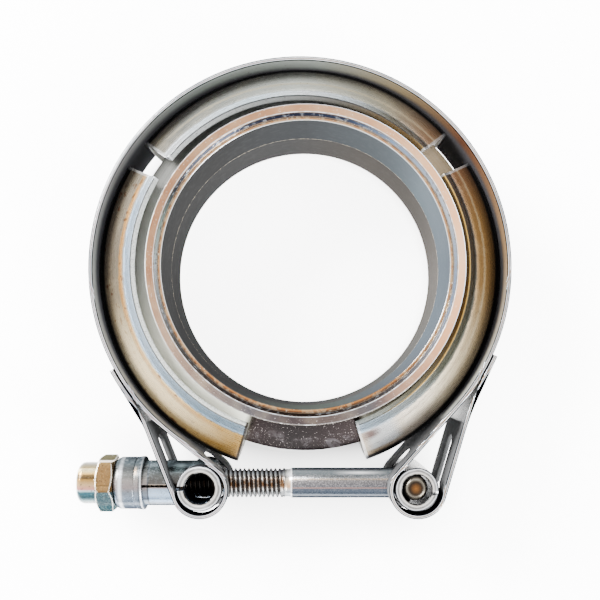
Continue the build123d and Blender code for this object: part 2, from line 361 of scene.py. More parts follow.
    def bump(self, height, strength, distance, normal=None):
        node = self.add("ShaderNodeBump")
        node.inputs["Strength"].default_value = strength
        node.inputs["Distance"].default_value = distance * MM
        self.link(height, node.inputs["Height"])
        if normal is not None:
            self.link(normal, node.inputs["Normal"])
        return node.outputs[0]

    def rounded(self, radius):
        """Normals as if sharp edges had this radius, for a bright line along them."""
        node = self.add("ShaderNodeBevel", samples=6)
        node.inputs["Radius"].default_value = radius * MM
        return node.outputs[0]

    def flatness(self, normal):
        """One on flat faces and less where a rounded normal turns from the face's own."""
        node = self.add("ShaderNodeVectorMath", operation="DOT_PRODUCT")
        self.link(normal, node.inputs[0])
        self.link(self.add("ShaderNodeNewGeometry").outputs["True Normal"], node.inputs[1])
        return node.outputs["Value"]

    def finish(self, colour, roughness, normal=None, metallic=1.0, specular=0.5):
        self.put(colour, self.shader.inputs["Base Color"])
        self.put(roughness, self.shader.inputs["Roughness"])
        self.put(metallic, self.shader.inputs["Metallic"])
        self.put(specular, self.shader.inputs["Specular IOR Level"])
        if normal is not None:
            self.link(normal, self.shader.inputs["Normal"])
        return self.material


# A rolled tube's cut end, from its inner to its outer rim, with painted shade along both rims
# and two painted highlight bands
CUT_RING = (
    (0.0, BLACK),
    (0.09, BLACK),
    (0.15, (0.54, 0.52, 0.49)),
    (0.30, (0.86, 0.84, 0.81)),
    (0.44, (0.42, 0.41, 0.40)),
    (0.60, grey(0.32)),
    (0.74, grey(0.90)),
    (0.81, (0.50, 0.52, 0.56)),
    (0.87, BLACK),
    (1.0, BLACK),
)

# Strap, in mm. Radii are from the ring's axis, and a pair is where a fade starts and
# ends. The strip's middle lines as (normal x, normal y, distance) from the ring's centre are
# the two runs to the loops and the two layers that come back.
STRIP_HALF = 0.7
STRIP_MIDDLE_R = 67.7
FOLD_MIDDLE_R = 69.2
LOOP_R = 8.6
STRAP_LINES = (
    (-0.631, -0.776, 67.7),
    (0.748, -0.664, 67.7),
    (-0.9315, -0.3639, 65.04),
    (0.9592, -0.2827, 65.57),
)
STRIP_INSIDE_R = (67.05, 67.3)
STRIP_OUTSIDE_R = (68.2, 68.35)
RING_WALL_Y = (-50.0, -44.0)
# The loops' insides, which get painted black shade
LOOP_SHADE_R = (8.0, 8.3)
STRIP_EDGE_HEIGHT = (12.42, 12.47)
# Painted shade in the crevice behind the retainers, which reaches higher at the ring's sides
CREVICE_SHADE_Z = (2.8, 6.0)
CREVICE_SHADE_SIDE_RISE = 2.6
# Shares of the strip's half thickness where the tinted middle turns into the painted highlight
# line, and that into the painted black shade of the outline
TINTED_SHARE = (0.14, 0.26)
HIGHLIGHT_SHARE = (0.48, 0.60)

# The ring's inner face, with painted reflections and shade round the ring, in degrees from +X
STRAP_INSIDE = (
    (-180, (0.40, 0.41, 0.40)),
    (-140, grey(0.34)),
    (-115, grey(0.26)),
    (-60, (0.60, 0.62, 0.62)),
    (-30, (0.72, 0.72, 0.68)),
    (5, (0.42, 0.32, 0.21)),
    (38, (0.22, 0.13, 0.09)),
    (60, (0.40, 0.34, 0.24)),
    (85, (0.38, 0.40, 0.38)),
    (120, (0.34, 0.36, 0.34)),
    (145, grey(0.34)),
    (180, (0.40, 0.41, 0.40)),
)


def strap_material():
    """Cold-rolled strip: painted bright lines along its edges, drawn wall, painted black
    crevice shade.
    """
    g = Graph("strap_steel")
    radius, angle, z = g.ring(RING_X)
    x, y = g.split(g.spot)[:2]
    grain = (angle, radius, z)
    cloud = g.noise(0.07, detail=4.0, roughness=0.6)
    fine = g.turned(grain, (6.0, 2.0, 5.0), 3.0, 0.6)
    drawn = g.turned(grain, (2.0, 0.0, 3.5), 4.0, 0.65)
    loops = [g.away(RING_X + loop_x, LOOP_Y) for loop_x in (TRUNNION_LOOP_X, HEAD_LOOP_X)]

    # Walls: painted shade in the loops, the ring's drawn outside, painted reflections inside
    # it
    plain = g.ramp(cloud, [(0.35, grey(0.20)), (0.65, (0.30, 0.305, 0.31))])
    for loop in loops:
        plain = g.paint(plain, g.drop(loop, *LOOP_SHADE_R), BLACK, 0.97)
    outside = g.times(g.fade(radius, *STRIP_OUTSIDE_R), g.fade(y, *RING_WALL_Y))
    plain = g.mix(outside, plain, g.tones(drawn, grey(0.13), (0.25, 0.25, 0.245)))
    inside = g.drop(radius, *STRIP_INSIDE_R)
    colour = g.mix(inside, plain, g.around(angle, STRAP_INSIDE))
    # Painted dark shade in the crevice behind the retainers
    depth = g.minus(z, g.times(g.size(g.math("COSINE", angle)), CREVICE_SHADE_SIDE_RISE))
    crevice = g.times(g.drop(depth, *CREVICE_SHADE_Z), inside)
    colour = g.paint(colour, crevice, (0.16, 0.16, 0.17), 0.95)

    # Painted lines along the strip's edge, by the distance from its nearest middle line: a
    # tinted middle, a painted highlight and a painted black shade outline
    middles = [g.minus(radius, STRIP_MIDDLE_R), g.minus(radius, FOLD_MIDDLE_R)]
    middles += [g.minus(loop, LOOP_R) for loop in loops]
    for normal_x, normal_y, distance in STRAP_LINES:
        along = g.plus(g.times(g.minus(x, RING_X / MM), normal_x), g.times(y, normal_y))
        middles.append(g.minus(along, distance))
    off = g.size(middles[0])
    for middle in middles[1:]:
        off = g.smaller(off, g.size(middle))
    share = g.fade(off, 0.0, STRIP_HALF)
    tint = g.mix(g.fade(x, -20.0, 10.0), (0.50, 0.42, 0.42), (0.42, 0.33, 0.25))
    # Painted highlight along the strip's edge
    bright = g.mix(g.fade(cloud, 0.4, 0.6), (0.62, 0.66, 0.70), (0.90, 0.91, 0.93))
    lines = g.mix(g.fade(share, *TINTED_SHARE), tint, bright)
    lines = g.mix(g.fade(share, *HIGHLIGHT_SHARE), lines, BLACK)
    edge = g.fade(g.from_middle(z), *STRIP_EDGE_HEIGHT)
    colour = g.mix(edge, colour, lines)
    colour = g.paint(colour, g.specks(2.4, 0.70, 0.76), (0.10, 0.08, 0.06), 0.6)

    satin = g.times(edge, g.drop(share, *HIGHLIGHT_SHARE))
    satin = g.larger(satin, g.times(outside, g.invert(edge)))
    normal = g.bump(fine, 0.06, 0.02, g.rounded(0.9))
    rough = g.vary(fine, 0.18, 0.30)
    return g.finish(g.deepen(colour), rough, normal, g.times(satin, 0.85), g.times(satin, 0.4))


# Retainers. Radii and heights in mm, turns in radians. Three numbers are a band: low,
# high and softness.
LIP_SLOPE = math.radians(62)
LIP_END = (53.6, 19.2)
LIP_FACE = (-0.06, -0.02)
LIP_CORNER_R = (53.22, 53.62, 0.08)
KNEE_TO_LEG_R = (56.5, 57.1)
KNEE_LINE_R = (56.6, 56.9, 0.15)
GOLD_BAND_R = (57.3, 58.7, 0.3)
HIGHLIGHT_STREAK_R = (59.7, 60.5, 0.35)
LEG_SHADE_R = (60.5, 65.0)
CREVICE_SHADE_R = (65.4, 66.2)
CREVICE_SHADE_SIDE_REACH = 1.2
TINT_WOBBLE = 1.2
HIGHLIGHT_STREAK_TURN = ((-1.2, -0.4), (2.2, 2.5))
LEFT_SIDE_TURN = ((2.5, 2.7), (-2.2, -2.0))
RIGHT_SIDE_MIDDLE = -0.1
RIGHT_SIDE_REACH = (0.7, 1.0)
# Cut ends in degrees, which the light catches, the one that lies in the dark, and how
# far from them the mask reaches, in radians
BRIGHT_ENDS = (-70.5, 32.6, 42.9, 140.6, 148.6)
DARK_END = -108.1
CUT_END_TURN = (0.011, 0.015)
# Marks on the legs as (turns, radii): blue light and a painted dark reflection on the right
# one, a gold sheen on the left one
BLUE_LIGHT = ((-1.20, -1.02, 0.03), (56.5, 64.0, 0.5))
DARK_REFLECTION = ((-1.205, -1.13, 0.03), (57.0, 59.6, 0.5))
SHEEN = ((-2.75, -2.15, 0.22), (58.2, 62.5, 0.9))

# Legs, knees and lips, in degrees from +X. Legs and lips carry weld tints with painted light
# and shade that change round the ring; the knees carry painted highlights and shade.
RETAINER_LEG = (
    (-180, (0.42, 0.37, 0.30)),
    (-165, (0.62, 0.54, 0.40)),
    (-150, (0.86, 0.78, 0.60)),
    (-135, (0.95, 0.80, 0.52)),
    (-116, (0.74, 0.52, 0.20)),
    (-69, (0.60, 0.50, 0.38)),
    (-55, (0.90, 0.84, 0.74)),
    (-35, (0.80, 0.72, 0.56)),
    (-5, (0.46, 0.33, 0.17)),
    (15, (0.44, 0.31, 0.15)),
    (32, (0.42, 0.28, 0.18)),
    (46, (0.46, 0.34, 0.24)),
    (62, (0.52, 0.50, 0.42)),
    (90, (0.72, 0.74, 0.70)),
    (130, (0.40, 0.405, 0.38)),
    (150, (0.42, 0.38, 0.31)),
    (180, (0.42, 0.37, 0.30)),
)
RETAINER_KNEE = (
    (-180, PALE_BLUE),
    (-150, PALE_BLUE),
    (-125, (0.48, 0.62, 0.74)),
    (-69, (0.50, 0.60, 0.68)),
    (-52, (0.50, 0.54, 0.54)),
    (-35, (0.20, 0.21, 0.17)),
    (0, (0.060, 0.055, 0.036)),
    (38, (0.06, 0.04, 0.03)),
    (58, (0.17, 0.17, 0.14)),
    (75, (0.62, 0.68, 0.72)),
    (88, WHITE),
    (105, (0.74, 0.84, 0.90)),
    (140, WHITE),
    (160, PALE_BLUE),
    (180, PALE_BLUE),
)
RETAINER_LIP = (
    (-180, (0.74, 0.76, 0.74)),
    (-110, (0.80, 0.82, 0.80)),
    (-69, (0.62, 0.68, 0.70)),
    (-50, (0.30, 0.30, 0.26)),
    (-20, (0.24, 0.15, 0.05)),
    (10, (0.20, 0.14, 0.06)),
    (55, (0.22, 0.15, 0.06)),
    (75, (0.20, 0.19, 0.17)),
    (95, (0.34, 0.35, 0.35)),
    (140, (0.60, 0.62, 0.62)),
    (180, (0.74, 0.76, 0.74)),
)


def retainer_leg(g, angle, wobble, streaks, cloud):
    """The legs, with the straw and gold that welding left, and a painted highlight streak."""
    leg = g.around(angle, RETAINER_LEG)
    leg = g.mix(g.fade(streaks, 0.35, 0.65, 0.08, 0.0), leg, UMBER)
    # Painted shade, darker towards the crevice
    leg = g.paint(leg, g.fade(wobble, *LEG_SHADE_R), UMBER, 0.45)
    leg = g.mix(g.fade(cloud, 0.5, 0.75, 0.0, 0.30), leg, CREAM)
    # A painted highlight streak along the legs
    highlight_streak = g.times(g.band(wobble, *HIGHLIGHT_STREAK_R), g.between(angle, *HIGHLIGHT_STREAK_TURN))
    leg = g.paint(leg, highlight_streak, CREAM, 0.55)
    above, below = LEFT_SIDE_TURN
    left_side = g.plus(g.fade(angle, *above), g.drop(angle, *below))
    gold = g.times(g.band(wobble, *GOLD_BAND_R), left_side)
    leg = g.paint(leg, gold, (0.72, 0.46, 0.20), 0.85)
    spots = g.times(g.specks(0.5, 0.63, 0.70), left_side)
    return g.paint(leg, spots, (0.22, 0.10, 0.04), 0.7)


def retainer_material():
    """Rolled V segments: sheared lips, painted highlights on the knees, weld tints along the
    legs.
    """
    g = Graph("retainer_steel")
    radius, angle, z = g.ring(RING_X)
    grain = (angle, radius, z)
    height = g.from_middle(z)
    fine = g.turned(grain, (9.0, 3.0, 3.0), 3.0, 0.6)
    streaks = g.turned(grain, (5.0, 0.9, 0.9), 4.0, 0.6, 0.4, scale=0.6)
    cloud = g.noise(0.09, detail=4.0, roughness=0.65, distortion=0.6)
    blot = g.noise(0.35, detail=4.0, roughness=0.6, distortion=0.8)
    wobble = g.plus(radius, g.times(g.minus(blot, 0.5), TINT_WOBBLE))
    soft = g.rounded(0.4)

    from_right = g.size(g.minus(angle, RIGHT_SIDE_MIDDLE))
    right_side = g.drop(from_right, *RIGHT_SIDE_REACH)
    # Painted white glints on the knees, left out on the right side
    shine = g.times(g.fade(fine, 0.45, 0.75, 0.0, 0.35), g.invert(right_side))
    knee = g.mix(shine, g.around(angle, RETAINER_KNEE), WHITE)
    leg = retainer_leg(g, angle, wobble, streaks, cloud)
    colour = g.mix(g.fade(wobble, *KNEE_TO_LEG_R), knee, leg)
    colour = g.paint(colour, g.band(wobble, *KNEE_LINE_R), DARK, 0.45)

    # The lip's sheared end lies across the sheet, square to the lip.
    end_r, end_height = LIP_END
    from_end = g.plus(
        g.times(g.minus(radius, end_r), -math.cos(LIP_SLOPE)),
        g.times(g.minus(height, end_height), math.sin(LIP_SLOPE)),
    )
    sheared = g.fade(from_end, *LIP_FACE)
    worn = g.fade(g.noise(2.4, detail=2.0), 0.5, 0.62, 0.0, 0.45)
    colour = g.mix(sheared, colour, g.mix(worn, g.around(angle, RETAINER_LIP), GREY))
    # A painted shade line along the lip's corner, gold instead on the right side
    corner = g.times(g.band(radius, *LIP_CORNER_R), sheared)
    colour = g.paint(colour, corner, g.mix(right_side, DARK, (0.80, 0.58, 0.22)), 0.8)
    # Painted black shade in the crevice behind the legs, reaching further in at the ring's
    # sides
    aside = g.times(g.size(g.math("COSINE", angle)), CREVICE_SHADE_SIDE_REACH)
    colour = g.paint(colour, g.fade(g.plus(radius, aside), *CREVICE_SHADE_R), BLACK, 0.95)

    near_end = g.near(angle, BRIGHT_ENDS[0])
    for degrees in BRIGHT_ENDS[1:]:
        near_end = g.larger(near_end, g.near(angle, degrees))
    end_face = g.fade(g.flatness(soft), 0.70, 0.97, 1.0, 0.55)
    colour = g.paint(colour, g.times(near_end, end_face), WHITE, 0.9)
    colour = g.paint(colour, g.near(angle, DARK_END), (0.07, 0.055, 0.04), 0.9)

    for (turns, radii), place, over, share in (
        (BLUE_LIGHT, radius, (0.78, 0.84, 0.90), 0.6),
        (DARK_REFLECTION, wobble, (0.24, 0.15, 0.13), 0.8),
    ):
        mark = g.times(g.band(angle, *turns), g.band(place, *radii))
        colour = g.paint(colour, mark, over, share)
    colour = g.deepen(g.paint(colour, g.specks(1.8, 0.69, 0.76), UMBER, 0.6))
    turns, radii = SHEEN
    sheen = g.times(g.band(wobble, *radii), g.band(angle, *turns))
    colour = g.paint(colour, sheen, (1.0, 0.80, 0.48), 0.8)
    inner = g.times(g.facing_in(radius, RING_X), g.invert(sheared))
    colour = g.mix(inner, colour, g.tones(cloud, (0.55, 0.55, 0.52), (0.78, 0.78, 0.74)))
    rough = g.vary(fine, 0.22, 0.36)
    normal = g.bump(fine, 0.08, 0.02, soft)
    return g.finish(colour, rough, normal, g.times(g.invert(inner), 0.75))


# Flanges. Radii and heights in mm from the joint, turns in radians.
FACE_HEIGHT = (20.40, 20.45)
BEVEL_HEIGHT = (19.14, 20.42, 0.02)
LEDGE_HEIGHT = (18.9, 19.14, 0.02)
BORE_R = (45.12, 45.25)
OFF_BORE_R = (45.1, 45.2)
LEDGE_R = (45.1, 46.2)
BEVEL_R = (46.2, 47.4)
BEVEL_LINES = ((0.02, 0.20, 0.05), (0.80, 0.96, 0.05))
FACE_INNER_RIM_R = (47.48, 47.60)
FACE_OUTER_RIM_R = (49.66, 49.78)
HUB_R = (49.9, 50.1)
SCUFF_R = (53.0, 56.0)
JOINT_Z = (-0.16, 0.16, 0.05)
JOINT_R = (45.5, 45.6)
DOWN = -1.57
BOTTOM_REACH = (0.34, 0.38)
TOWARDS_BOLT = -1.6
JOINT_REACH = (0.5, 0.8)
LEDGE_REACH = (0.7, 1.3)

# The bored ledge, from the bore outwards, in the light and towards the bolt
LEDGE_LIT = (
    (0.0, WHITE),
    (0.18, WHITE),
    (0.30, (0.60, 0.44, 0.32)),
    (0.75, (0.50, 0.32, 0.18)),
    (1.0, DARK),
)
LEDGE_SHADED = (
    (0.0, DARK),
    (0.3, (0.56, 0.34, 0.17)),
    (0.7, (0.34, 0.18, 0.08)),
    (1.0, DARK),
)

# Painted reflections on the cone, the weld bevel and the bore's halves, the hub face, and
# painted light and shade where the cone shows through the gaps, in degrees from +X
FLANGE_CONE = (
    (-180, (0.42, 0.43, 0.40)),
    (-150, (0.60, 0.60, 0.50)),
    (-115, (0.60, 0.60, 0.50)),
    (-108, UMBER),
    (-95, (0.035, 0.022, 0.022)),
    (-72, (0.075, 0.05, 0.048)),
    (-66, (0.30, 0.26, 0.18)),
    (-20, (0.24, 0.18, 0.08)),
    (30, (0.24, 0.18, 0.08)),
    (44, (0.30, 0.20, 0.10)),
    (70, (0.22, 0.19, 0.13)),
    (90, (0.24, 0.25, 0.25)),
    (140, (0.20, 0.19, 0.18)),
    (152, (0.30, 0.31, 0.29)),
    (180, (0.42, 0.43, 0.40)),
)
FLANGE_FACE = (
    (-180, TAN),
    (-150, (0.34, 0.24, 0.18)),
    (-130, (0.26, 0.20, 0.17)),
    (-112, (0.10, 0.095, 0.115)),
    (-95, (0.075, 0.048, 0.050)),
    (-78, (0.10, 0.07, 0.07)),
    (-66, (0.09, 0.085, 0.105)),
    (-55, (0.32, 0.21, 0.16)),
    (-30, (0.62, 0.38, 0.23)),
    (0, (0.80, 0.52, 0.33)),
    (40, (0.62, 0.41, 0.26)),
    (75, (0.42, 0.26, 0.155)),
    (140, (0.32, 0.19, 0.105)),
    (180, TAN),
)
FLANGE_BEVEL = (
    (-180, (0.74, 0.78, 0.78)),
    (-150, (0.30, 0.29, 0.28)),
    (-120, (0.14, 0.12, 0.12)),
    (-90, (0.10, 0.07, 0.06)),
    (-60, (0.20, 0.19, 0.19)),
    (-35, (0.36, 0.37, 0.40)),
    (-10, (0.42, 0.50, 0.62)),
    (20, (0.80, 0.86, 0.92)),
    (55, (0.46, 0.55, 0.68)),
    (75, (0.12, 0.14, 0.20)),
    (95, NAVY),
    (125, (0.12, 0.13, 0.16)),
    (150, (0.10, 0.11, 0.13)),
    (165, (0.50, 0.58, 0.52)),
    (180, (0.74, 0.78, 0.78)),
)
NEAR_BORE = (
    (-180, grey(0.11)),
    (-120, grey(0.10)),
    (-85, (0.12, 0.13, 0.12)),
    (-60, (0.13, 0.14, 0.15)),
    (-30, (0.16, 0.18, 0.20)),
    (0, (0.17, 0.19, 0.21)),
    (35, (0.24, 0.27, 0.29)),
    (60, (0.19, 0.205, 0.215)),
    (90, (0.13, 0.135, 0.14)),
    (130, grey(0.11)),
    (180, grey(0.11)),
)
FAR_BORE = (
    (-180, grey(0.11)),
    (-100, grey(0.10)),
    (-50, (0.14, 0.14, 0.135)),
    (0, (0.20, 0.19, 0.18)),
    (60, (0.19, 0.18, 0.17)),
    (100, grey(0.14)),
    (140, grey(0.12)),
    (180, grey(0.11)),
)
FLANGE_GAPS = (
    (-180, (0.42, 0.43, 0.41)),
    (-150, (0.80, 0.80, 0.72)),
    (-112, (0.80, 0.80, 0.70)),
    (-66, (0.50, 0.48, 0.40)),
    (-20, (0.20, 0.15, 0.07)),
    (40, (0.20, 0.14, 0.07)),
    (60, (0.22, 0.18, 0.12)),
    (90, (0.30, 0.31, 0.31)),
    (138, (0.035, 0.034, 0.032)),
    (149, (0.04, 0.038, 0.036)),
    (155, (0.34, 0.35, 0.33)),
    (180, (0.42, 0.43, 0.41)),
)


def flange_rims(g, colour, radius, angle, height, face, turning, scratch):
    """The hub's face, its weld bevel with painted reflections, and the ledge round the bore.
    """
    cloud = g.noise(0.10, detail=3.0, roughness=0.6, distortion=0.4)
    tan = g.mix(g.fade(cloud, 0.4, 0.7, 0.0, 0.22), g.around(angle, FLANGE_FACE), CREAM)
    colour = g.mix(face, colour, tan)
    rim = g.plus(g.fade(radius, *FACE_OUTER_RIM_R), g.drop(radius, *FACE_INNER_RIM_R))
    worn = g.mix(g.fade(scratch, 0.4, 0.6), (0.80, 0.86, 0.92), SILVER)
    colour = g.paint(colour, g.times(rim, face), worn, 0.8)

    marks = g.mix(g.fade(turning, 0.45, 0.55), WHITE, DARK)
    marked = g.fade(scratch, 0.52, 0.64, 0.0, 0.75)
    bevel_reflections = g.mix(marked, g.around(angle, FLANGE_BEVEL), marks)
    across = g.fade(radius, *BEVEL_R)
    first, second = BEVEL_LINES
    lines = g.plus(g.band(across, *first), g.band(across, *second))
    bevel_reflections = g.paint(bevel_reflections, lines, (0.58, 0.44, 0.31), 0.75)
    colour = g.mix(g.band(height, *BEVEL_HEIGHT), colour, bevel_reflections)

    outwards = g.fade(radius, *LEDGE_R)
    shaded = g.drop(g.size(g.minus(angle, TOWARDS_BOLT)), *LEDGE_REACH)
    step = g.mix(shaded, g.ramp(outwards, LEDGE_LIT), g.ramp(outwards, LEDGE_SHADED))
    ledge = g.times(g.band(height, *LEDGE_HEIGHT), g.fade(radius, *OFF_BORE_R))
    return g.mix(ledge, colour, g.mix(g.fade(scratch, 0.45, 0.6, 0.0, 0.35), step, CREAM))


def flange_bore(g, colour, radius, angle, z, bore, turning, scratch):
    """The bore's two halves, with a painted highlight along the joint between them, faded out
    on the bolt's side.
    """
    wall = g.mix(g.fade(z, -0.1, 0.0), g.around(angle, FAR_BORE), g.around(angle, NEAR_BORE))
    scratched = g.mix(g.fade(scratch, 0.5, 0.7), wall, SILVER)
    wall = g.mix(g.fade(turning, 0.35, 0.75, 0.0, 0.08), wall, scratched)
    colour = g.mix(bore, colour, wall)
    broken = g.fade(g.noise(0.7, detail=2.0), 0.42, 0.55, 0.35, 1.0)
    joint = g.times(g.band(z, *JOINT_Z), g.drop(radius, *JOINT_R))
    lit = g.fade(g.size(g.minus(angle, TOWARDS_BOLT)), *JOINT_REACH)
    joint = g.times(g.times(joint, lit), broken)
    colour = g.paint(colour, joint, (0.86, 0.80, 0.68), 0.9)
    specks = g.times(g.specks(2.6, 0.70, 0.74), g.invert(bore))
    return g.paint(colour, specks, (0.80, 0.76, 0.74), 0.6)


def flange_material():
    """Turned flange: tan hub face, with painted reflections on the bright weld bevel, the grey
    bore and the dark mirror cone.
    """
    g = Graph("flange_steel")
    radius, angle, z = g.ring(0.0)
    grain = (angle, radius, z)
    height = g.size(z)
    turning = g.turned(grain, (1.2, 7.0, 7.0), 3.0, 0.65)
    scratch = g.turned(grain, (26.0, 0.7, 0.7), 2.0, 0.5)
    face = g.fade(height, *FACE_HEIGHT)
    bore = g.drop(radius, *BORE_R)
    off_hub = g.fade(radius, *HUB_R)

    # The cone and the hub's wall: grey between the lips, scuffed where they stop
    bottom = g.times(g.drop(g.size(g.minus(angle, DOWN)), *BOTTOM_REACH), off_hub)
    dust = g.fade(g.noise(0.16, detail=5.0, roughness=0.7, distortion=1.2), 0.50, 0.62)
    scuff = g.times(g.times(dust, bottom), g.fade(radius, *SCUFF_R))
    dusty = g.times(scuff, g.vary(turning, 0.25, 0.7))
    colour = g.mix(dusty, g.around(angle, FLANGE_CONE), (0.34, 0.33, 0.34))
    colour = flange_rims(g, colour, radius, angle, height, face, turning, scratch)
    colour = flange_bore(g, colour, radius, angle, z, bore, turning, scratch)

    # Painted light and shade on what shows of the cone through the gaps beside and between the
    # retainers
    hidden = g.times(off_hub, g.times(g.invert(face), g.invert(bottom)))
    gap_light_and_shade = g.mix(g.vary(turning, 0.0, 0.4), g.around(angle, FLANGE_GAPS), GREY)
    colour = g.mix(hidden, g.deepen(colour), gap_light_and_shade)
    dull = g.plus(g.times(face, 0.12), g.times(scuff, 0.3))
    rough = g.plus(g.vary(turning, 0.14, 0.24), dull)
    metallic = g.times(g.minus(0.9, g.times(face, 0.5)), g.invert(bore))
    metallic = g.times(metallic, g.invert(g.times(hidden, 0.85)))
    normal = g.bump(turning, 0.12, 0.015, g.rounded(0.2))
    return g.finish(colour, rough, normal, metallic, g.times(g.invert(bore), 0.5))


# T-bolt. Places along it are world X in mm, and dy is from its axis towards the ring.
THREAD_END_X = (-6.9, -6.7)
VALLEY_SHADE_R = (4.15, 4.5)
IN_TUBE_SHADE_X = (-39.4, -29.0, 0.3)
RELIEF_X = (-6.7, -4.35, 0.12)
RELIEF_TINT_X = (-6.7, -5.4)
RELIEF_GLINT_X = (-4.75, -4.3, 0.08)
SHANK_HIGHLIGHT_X = (13.5, 23.5, 4.5)
SHANK_HIGHLIGHT_DY = (3.55, 4.15, 0.35)
SPECKLED_DY = (-0.8, 3.2, 0.4)
RUST_DY = (-1.4, 2.6, 0.9)
T_BAR_TOP = (8.0, 8.5)
BOLT_LIT_DY = ((-4.0, -3.0), (2.5, 3.3))

# Shank, relief and thread crests, by dy: painted reflections across them, darker towards their
# top and bottom edges
SHANK_BANDS = (
    (-5.1, (0.03, 0.035, 0.04)),
    (-4.3, (0.08, 0.09, 0.11)),
    (-3.6, (0.15, 0.18, 0.22)),
    (-2.6, (0.12, 0.15, 0.19)),
    (-1.3, (0.16, 0.18, 0.21)),
    (-1.0, (0.50, 0.34, 0.30)),
    (-0.7, (0.22, 0.22, 0.24)),
    (1.5, (0.28, 0.27, 0.27)),
    (1.9, (0.44, 0.37, 0.30)),
    (2.3, (0.28, 0.29, 0.30)),
    (3.4, (0.22, 0.24, 0.25)),
    (4.3, (0.30, 0.33, 0.34)),
    (4.8, (0.12, 0.13, 0.14)),
    (5.1, (0.05, 0.06, 0.065)),
)
RELIEF_BANDS = (
    (-4.6, (0.40, 0.43, 0.46)),
    (-2.0, (0.60, 0.62, 0.64)),
    (-0.6, (0.72, 0.52, 0.36)),
    (1.4, (0.90, 0.76, 0.60)),
    (2.6, GLINT),
    (4.6, SILVER),
)
CREST_BANDS = (
    (-5.0, BLACK),
    (-3.6, (0.20, 0.21, 0.22)),
    (-1.5, SILVER),
    (2.4, SILVER),
    (3.4, (0.30, 0.31, 0.32)),
    (5.0, DARK),
)
# The cross bar's domed end, from its middle to its rim, with a painted highlight ring and
# painted shade at the rim
T_BAR_DISC_R = (0.3, 4.6)
T_BAR_DISC = (
    (0.0, (0.36, 0.20, 0.08)),
    (0.25, (0.22, 0.13, 0.06)),
    (0.48, (0.08, 0.06, 0.045)),
    (0.70, (0.30, 0.28, 0.24)),
    (0.86, (0.14, 0.13, 0.12)),
    (1.0, DARK),
)


def bolt_material():
    """Satin steel: painted lengthwise reflections on the shank, painted dark shade in the
    valleys.
    """
    g = Graph("bolt_steel")
    x, y, z = g.split(g.spot)
    dy = g.minus(y, BOLT_Y / MM)
    dz = g.minus(z, CLAMP_Z / MM)
    grain = g.noise(1.0, g.stretch(0.8, 4.0, 4.0), 3.0, 0.65)
    speckle = g.noise(2.2, detail=2.0, roughness=0.5)

    speckled = g.plus(g.times(g.band(dy, *SPECKLED_DY), 0.3), 0.15)
    speckled = g.times(g.fade(speckle, 0.48, 0.60), speckled)
    shank = g.mix(speckled, g.across(SHANK_BANDS), (0.62, 0.60, 0.60))
    # A painted highlight along the shank
    shank_highlight = g.times(g.band(x, *SHANK_HIGHLIGHT_X), g.band(dy, *SHANK_HIGHLIGHT_DY))
    shank = g.paint(shank, shank_highlight, GLINT)
    lit = g.mix(g.fade(x, *RELIEF_TINT_X, 0.6, 0.0), g.across(RELIEF_BANDS), GREY)
    shank = g.mix(g.band(x, *RELIEF_X), shank, lit)
    shank = g.paint(shank, g.band(x, *RELIEF_GLINT_X), GLINT, 0.9)

    threaded = g.drop(x, *THREAD_END_X)
    # Painted shade in the thread's valleys
    valley_shade = g.times(threaded, g.drop(g.hypotenuse(dy, dz), *VALLEY_SHADE_R))
    rust = g.times(g.band(dy, *RUST_DY), g.fade(g.noise(0.5, detail=3.0), 0.3, 0.6))
    crest = g.mix(g.times(rust, 0.9), g.across(CREST_BANDS), (0.27, 0.155, 0.07))
    colour = g.mix(threaded, shank, crest)
    colour = g.mix(g.times(valley_shade, 0.85), colour, (0.05, 0.045, 0.04))
    # Painted shade on the thread inside the trunnion's tube
    colour = g.paint(colour, g.band(x, *IN_TUBE_SHADE_X), BLACK, 0.75)

    middle = g.away(RING_X + T_BAR_X, BOLT_Y)
    disc = g.fade(g.plus(middle, g.times(speckle, 0.6)), *T_BAR_DISC_R)
    colour = g.mix(g.fade(dz, *T_BAR_TOP), colour, g.ramp(disc, T_BAR_DISC))
    rough = g.vary(grain, 0.18, 0.34)
    normal = g.bump(grain, 0.12, 0.03)
    lit_side = g.between(dy, *BOLT_LIT_DY)
    metallic, specular = g.times(lit_side, 0.9), g.times(lit_side, 0.5)
    return g.finish(g.deepen(colour), rough, normal, metallic, specular)


# The cut ends of sleeve and trunnion: height, and the rings' radii, in mm
CUT_END_HEIGHT = (11.9, 11.97)
SLEEVE_RING_R = (4.8, 7.1)
TRUNNION_RING_R = (4.95, 7.55)


def sheet_cut_material():
    """Sleeve rolled from sheet: bright cut face, darker rolled sides."""
    g = Graph("sleeve_steel")
    cloud = g.noise(0.35, detail=4.0, roughness=0.65, distortion=0.6)
    fine = g.noise(2.0, detail=3.0, roughness=0.6)
    top = g.fade(g.from_middle(g.split(g.spot)[2]), *CUT_END_HEIGHT)
    face = g.cut_ring("t_head_sleeve", *SLEEVE_RING_R)
    sides = g.ramp(cloud, [(0.35, grey(0.10)), (0.65, grey(0.24))])
    colour = g.mix(top, sides, face)
    normal = g.bump(fine, 0.2, 0.05, g.rounded(0.6))
    return g.finish(g.deepen(colour), g.vary(fine, 0.2, 0.36), normal, 0.85)


